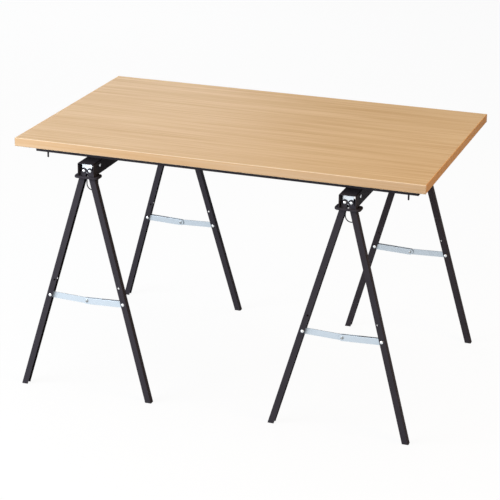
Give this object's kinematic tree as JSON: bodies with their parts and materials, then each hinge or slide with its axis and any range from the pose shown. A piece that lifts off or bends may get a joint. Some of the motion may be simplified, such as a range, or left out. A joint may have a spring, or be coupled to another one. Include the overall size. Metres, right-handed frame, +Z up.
{
  "type": "folding trestle table",
  "caption": "Loose wood-grain tabletop with steel rails, resting on folding trestles: channel beams with splayed channel legs that shut like scissors and lock with hinged stays.",
  "frame": {"origin": "on the floor, under the middle of the tabletop", "axes": "+Z up, +X along the table's length to the right, front towards -Y"},
  "size_m": [1.2, 0.7934, 0.75],
  "materials": {
    "laminate": "satin wood-grain laminate",
    "edge_band": "satin edge band",
    "black_steel": "satin powder coat",
    "zinc": "zinc plated",
    "wire": "bright wire"
  },
  "bodies": {
    "left_trestle": {"left_beam": "black_steel", "left_pivot_rivets": "zinc", "left_bracket_rivets": "zinc", "left_front_pivot_bracket": "zinc", "left_front_collar": "black_steel", "left_back_pivot_bracket": "zinc", "left_back_collar": "black_steel"},
    "tabletop": {"tabletop_board": "laminate", "front_edge_band": "edge_band", "back_edge_band": "edge_band", "left_edge_band": "edge_band", "right_edge_band": "edge_band", "front_rail": "black_steel", "back_rail": "black_steel", "rail_screws": "zinc", "stop_pins": "black_steel"},
    "right_trestle": {"right_beam": "black_steel", "right_pivot_rivets": "zinc", "right_bracket_rivets": "zinc", "right_front_pivot_bracket": "zinc", "right_front_collar": "black_steel", "right_back_pivot_bracket": "zinc", "right_back_collar": "black_steel"},
    "left_front_right_leg": {"left_front_right_leg": "black_steel", "left_front_right_stay_rivet": "zinc"},
    "left_front_left_leg": {"left_front_left_leg": "black_steel", "left_front_left_stay_rivet": "zinc"},
    "left_front_channel_link": {"left_front_channel_link": "zinc", "left_front_centre_rivet": "zinc"},
    "left_front_flat_link": {"left_front_flat_link": "zinc", "left_front_centre_rivet_core": "zinc"},
    "left_front_wire_loop": {"left_front_wire_loop": "wire"},
    "left_back_left_leg": {"left_back_left_leg": "black_steel", "left_back_left_stay_rivet": "zinc"},
    "left_back_right_leg": {"left_back_right_leg": "black_steel", "left_back_right_stay_rivet": "zinc"},
    "left_back_channel_link": {"left_back_channel_link": "zinc", "left_back_centre_rivet": "zinc"},
    "left_back_flat_link": {"left_back_flat_link": "zinc", "left_back_centre_rivet_core": "zinc"},
    "left_back_wire_loop": {"left_back_wire_loop": "wire"},
    "right_front_right_leg": {"right_front_right_leg": "black_steel", "right_front_right_stay_rivet": "zinc"},
    "right_front_left_leg": {"right_front_left_leg": "black_steel", "right_front_left_stay_rivet": "zinc"},
    "right_front_channel_link": {"right_front_channel_link": "zinc", "right_front_centre_rivet": "zinc"},
    "right_front_flat_link": {"right_front_flat_link": "zinc", "right_front_centre_rivet_core": "zinc"},
    "right_front_wire_loop": {"right_front_wire_loop": "wire"},
    "right_back_left_leg": {"right_back_left_leg": "black_steel", "right_back_left_stay_rivet": "zinc"},
    "right_back_right_leg": {"right_back_right_leg": "black_steel", "right_back_right_stay_rivet": "zinc"},
    "right_back_channel_link": {"right_back_channel_link": "zinc", "right_back_centre_rivet": "zinc"},
    "right_back_flat_link": {"right_back_flat_link": "zinc", "right_back_centre_rivet_core": "zinc"},
    "right_back_wire_loop": {"right_back_wire_loop": "wire"}
  },
  "joints": [
    {"name": "tabletop_lift", "type": "slide", "parent": "left_trestle", "child": "tabletop", "axis": [0, 0, 1], "range_m": [0, 0.2]},
    {"name": "right_trestle_lift", "type": "slide", "parent": "tabletop", "child": "right_trestle", "axis": [0, 0, -1], "range_m": [0, 0.2]},
    {"name": "left_front_right_leg_hinge", "type": "hinge", "parent": "left_trestle", "child": "left_front_right_leg", "pos_m": [-0.37475, -0.35225, 0.671], "axis": [0, 0.9986, -0.0523], "range_deg": [0, 15.6]},
    {"name": "left_front_left_leg_hinge", "type": "hinge", "parent": "left_trestle", "child": "left_front_left_leg", "pos_m": [-0.39325, -0.35225, 0.671], "axis": [0, -0.9986, 0.0523], "range_deg": [0, 15.6]},
    {"name": "left_front_channel_link_hinge", "type": "hinge", "parent": "left_front_right_leg", "child": "left_front_channel_link", "pos_m": [-0.27013, -0.37235, 0.28752], "axis": [0, 0.9986, -0.0523], "range_deg": [0, 73.12]},
    {"name": "left_front_flat_link_hinge", "type": "hinge", "parent": "left_front_left_leg", "child": "left_front_flat_link", "pos_m": [-0.49787, -0.37235, 0.28752], "axis": [0, -0.9986, 0.0523], "range_deg": [0, 73.12]},
    {"name": "left_front_wire_loop_swing", "type": "hinge", "parent": "left_trestle", "child": "left_front_wire_loop", "pos_m": [-0.384, -0.32384, 0.66951], "axis": [1, 0, 0], "range_deg": [-12, 85]},
    {"name": "left_back_left_leg_hinge", "type": "hinge", "parent": "left_trestle", "child": "left_back_left_leg", "pos_m": [-0.39325, 0.35225, 0.671], "axis": [0, -0.9986, -0.0523], "range_deg": [0, 15.6]},
    {"name": "left_back_right_leg_hinge", "type": "hinge", "parent": "left_trestle", "child": "left_back_right_leg", "pos_m": [-0.37475, 0.35225, 0.671], "axis": [0, 0.9986, 0.0523], "range_deg": [0, 15.6]},
    {"name": "left_back_channel_link_hinge", "type": "hinge", "parent": "left_back_left_leg", "child": "left_back_channel_link", "pos_m": [-0.49787, 0.37235, 0.28752], "axis": [0, -0.9986, -0.0523], "range_deg": [0, 73.12]},
    {"name": "left_back_flat_link_hinge", "type": "hinge", "parent": "left_back_right_leg", "child": "left_back_flat_link", "pos_m": [-0.27013, 0.37235, 0.28752], "axis": [0, 0.9986, 0.0523], "range_deg": [0, 73.12]},
    {"name": "left_back_wire_loop_swing", "type": "hinge", "parent": "left_trestle", "child": "left_back_wire_loop", "pos_m": [-0.384, 0.32384, 0.66951], "axis": [-1, 0, 0], "range_deg": [-12, 85]},
    {"name": "right_front_right_leg_hinge", "type": "hinge", "parent": "right_trestle", "child": "right_front_right_leg", "pos_m": [0.39325, -0.35225, 0.671], "axis": [0, 0.9986, -0.0523], "range_deg": [0, 15.6]},
    {"name": "right_front_left_leg_hinge", "type": "hinge", "parent": "right_trestle", "child": "right_front_left_leg", "pos_m": [0.37475, -0.35225, 0.671], "axis": [0, -0.9986, 0.0523], "range_deg": [0, 15.6]},
    {"name": "right_front_channel_link_hinge", "type": "hinge", "parent": "right_front_right_leg", "child": "right_front_channel_link", "pos_m": [0.49787, -0.37235, 0.28752], "axis": [0, 0.9986, -0.0523], "range_deg": [0, 73.12]},
    {"name": "right_front_flat_link_hinge", "type": "hinge", "parent": "right_front_left_leg", "child": "right_front_flat_link", "pos_m": [0.27013, -0.37235, 0.28752], "axis": [0, -0.9986, 0.0523], "range_deg": [0, 73.12]},
    {"name": "right_front_wire_loop_swing", "type": "hinge", "parent": "right_trestle", "child": "right_front_wire_loop", "pos_m": [0.384, -0.32384, 0.66951], "axis": [1, 0, 0], "range_deg": [-12, 85]},
    {"name": "right_back_left_leg_hinge", "type": "hinge", "parent": "right_trestle", "child": "right_back_left_leg", "pos_m": [0.37475, 0.35225, 0.671], "axis": [0, -0.9986, -0.0523], "range_deg": [0, 15.6]},
    {"name": "right_back_right_leg_hinge", "type": "hinge", "parent": "right_trestle", "child": "right_back_right_leg", "pos_m": [0.39325, 0.35225, 0.671], "axis": [0, 0.9986, 0.0523], "range_deg": [0, 15.6]},
    {"name": "right_back_channel_link_hinge", "type": "hinge", "parent": "right_back_left_leg", "child": "right_back_channel_link", "pos_m": [0.27013, 0.37235, 0.28752], "axis": [0, -0.9986, -0.0523], "range_deg": [0, 73.12]},
    {"name": "right_back_flat_link_hinge", "type": "hinge", "parent": "right_back_right_leg", "child": "right_back_flat_link", "pos_m": [0.49787, 0.37235, 0.28752], "axis": [0, 0.9986, 0.0523], "range_deg": [0, 73.12]},
    {"name": "right_back_wire_loop_swing", "type": "hinge", "parent": "right_trestle", "child": "right_back_wire_loop", "pos_m": [0.384, 0.32384, 0.66951], "axis": [-1, 0, 0], "range_deg": [-12, 85]}
  ],
  "couplings": [
    {"joint": "right_trestle_lift", "follows": "tabletop_lift", "ratio": 1},
    {"joint": "left_front_left_leg_hinge", "follows": "left_front_right_leg_hinge", "ratio": 1},
    {"joint": "left_front_channel_link_hinge", "follows": "left_front_right_leg_hinge", "ratio": 4.6869},
    {"joint": "left_front_flat_link_hinge", "follows": "left_front_right_leg_hinge", "ratio": 4.6869},
    {"joint": "left_back_right_leg_hinge", "follows": "left_back_left_leg_hinge", "ratio": 1},
    {"joint": "left_back_channel_link_hinge", "follows": "left_back_left_leg_hinge", "ratio": 4.6869},
    {"joint": "left_back_flat_link_hinge", "follows": "left_back_left_leg_hinge", "ratio": 4.6869},
    {"joint": "right_front_left_leg_hinge", "follows": "right_front_right_leg_hinge", "ratio": 1},
    {"joint": "right_front_channel_link_hinge", "follows": "right_front_right_leg_hinge", "ratio": 4.6869},
    {"joint": "right_front_flat_link_hinge", "follows": "right_front_right_leg_hinge", "ratio": 4.6869},
    {"joint": "right_back_right_leg_hinge", "follows": "right_back_left_leg_hinge", "ratio": 1},
    {"joint": "right_back_channel_link_hinge", "follows": "right_back_left_leg_hinge", "ratio": 4.6869},
    {"joint": "right_back_flat_link_hinge", "follows": "right_back_left_leg_hinge", "ratio": 4.6869}
  ]
}
